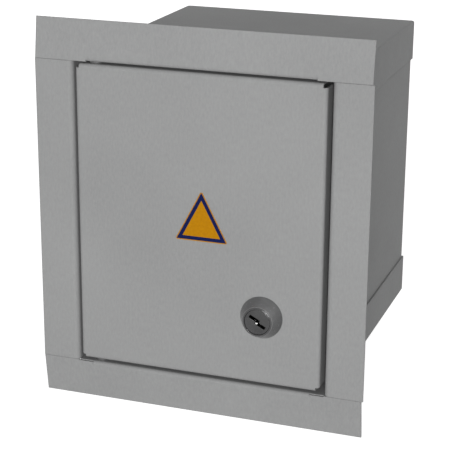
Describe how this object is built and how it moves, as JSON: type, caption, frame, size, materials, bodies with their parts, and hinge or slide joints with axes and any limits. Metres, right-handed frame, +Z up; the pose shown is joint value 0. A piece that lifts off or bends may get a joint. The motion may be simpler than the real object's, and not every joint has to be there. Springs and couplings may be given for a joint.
{
  "type": "electrical enclosure",
  "caption": "Flush-mounted grey sheet-steel enclosure with a front frame, a hinged pan door, a quarter-turn lock, an inner cover, a rail and terminal bars.",
  "frame": {"origin": "centre of the four wall-screw holes, on the outer face of the back wall", "axes": "+Z up as it hangs in the wall, +Y out of the back towards the wall, +X to the right seen from the front"},
  "size_m": [0.19, 0.189, 0.22],
  "materials": {
    "painted_grey": "fine satin grey powder coat",
    "sticker_film": "printed film, amber with a dark-blue border",
    "chrome_lock": "bright plated lock head",
    "zinc_steel": "zinc-plated steel",
    "brass": "drawn brass",
    "neutral_plastic": "blue moulded plastic",
    "earth_plastic": "green moulded plastic",
    "spacer_plastic": "grey moulded plastic"
  },
  "bodies": {
    "box": {"body_wrap": "painted_grey", "top_panel": "painted_grey", "bottom_panel": "painted_grey", "hinge_pin_upper": "zinc_steel", "hinge_pin_lower": "zinc_steel", "hinge_washers": "spacer_plastic", "lock_strike": "zinc_steel", "cover_bracket_left": "zinc_steel", "cover_bracket_right": "zinc_steel", "inner_cover": "painted_grey", "cover_screws": "zinc_steel", "din_rail": "zinc_steel", "rail_bracket_left": "zinc_steel", "rail_bracket_right": "zinc_steel", "rail_screws": "zinc_steel", "rail_nuts": "zinc_steel", "neutral_bar": "brass", "neutral_bar_holder": "neutral_plastic", "neutral_bar_screws": "zinc_steel", "earth_bar": "brass", "earth_bar_holder": "earth_plastic", "earth_bar_screws": "zinc_steel", "bar_end_screws": "zinc_steel", "holder_screws": "zinc_steel", "earth_stud": "zinc_steel", "earth_washer": "zinc_steel", "earth_nut": "zinc_steel"},
    "door": {"door": "painted_grey", "door_sticker": "sticker_film", "lock_housing": "chrome_lock", "lock_nut": "zinc_steel", "door_stud": "zinc_steel", "door_washer": "zinc_steel", "door_nut": "zinc_steel"},
    "lock_plug": {"lock_plug": "chrome_lock", "lock_cam": "zinc_steel", "cam_washer": "zinc_steel", "cam_screw": "zinc_steel"}
  },
  "joints": [
    {"name": "door_hinge", "type": "hinge", "parent": "box", "child": "door", "pos_m": [-0.0609, -0.173, 0], "axis": [0, 0, -1], "range_deg": [0, 110]},
    {"name": "lock_turn", "type": "hinge", "parent": "door", "child": "lock_plug", "pos_m": [0.0368, -0.18, -0.0461], "axis": [0, -1, 0], "range_deg": [0, 90]}
  ]
}
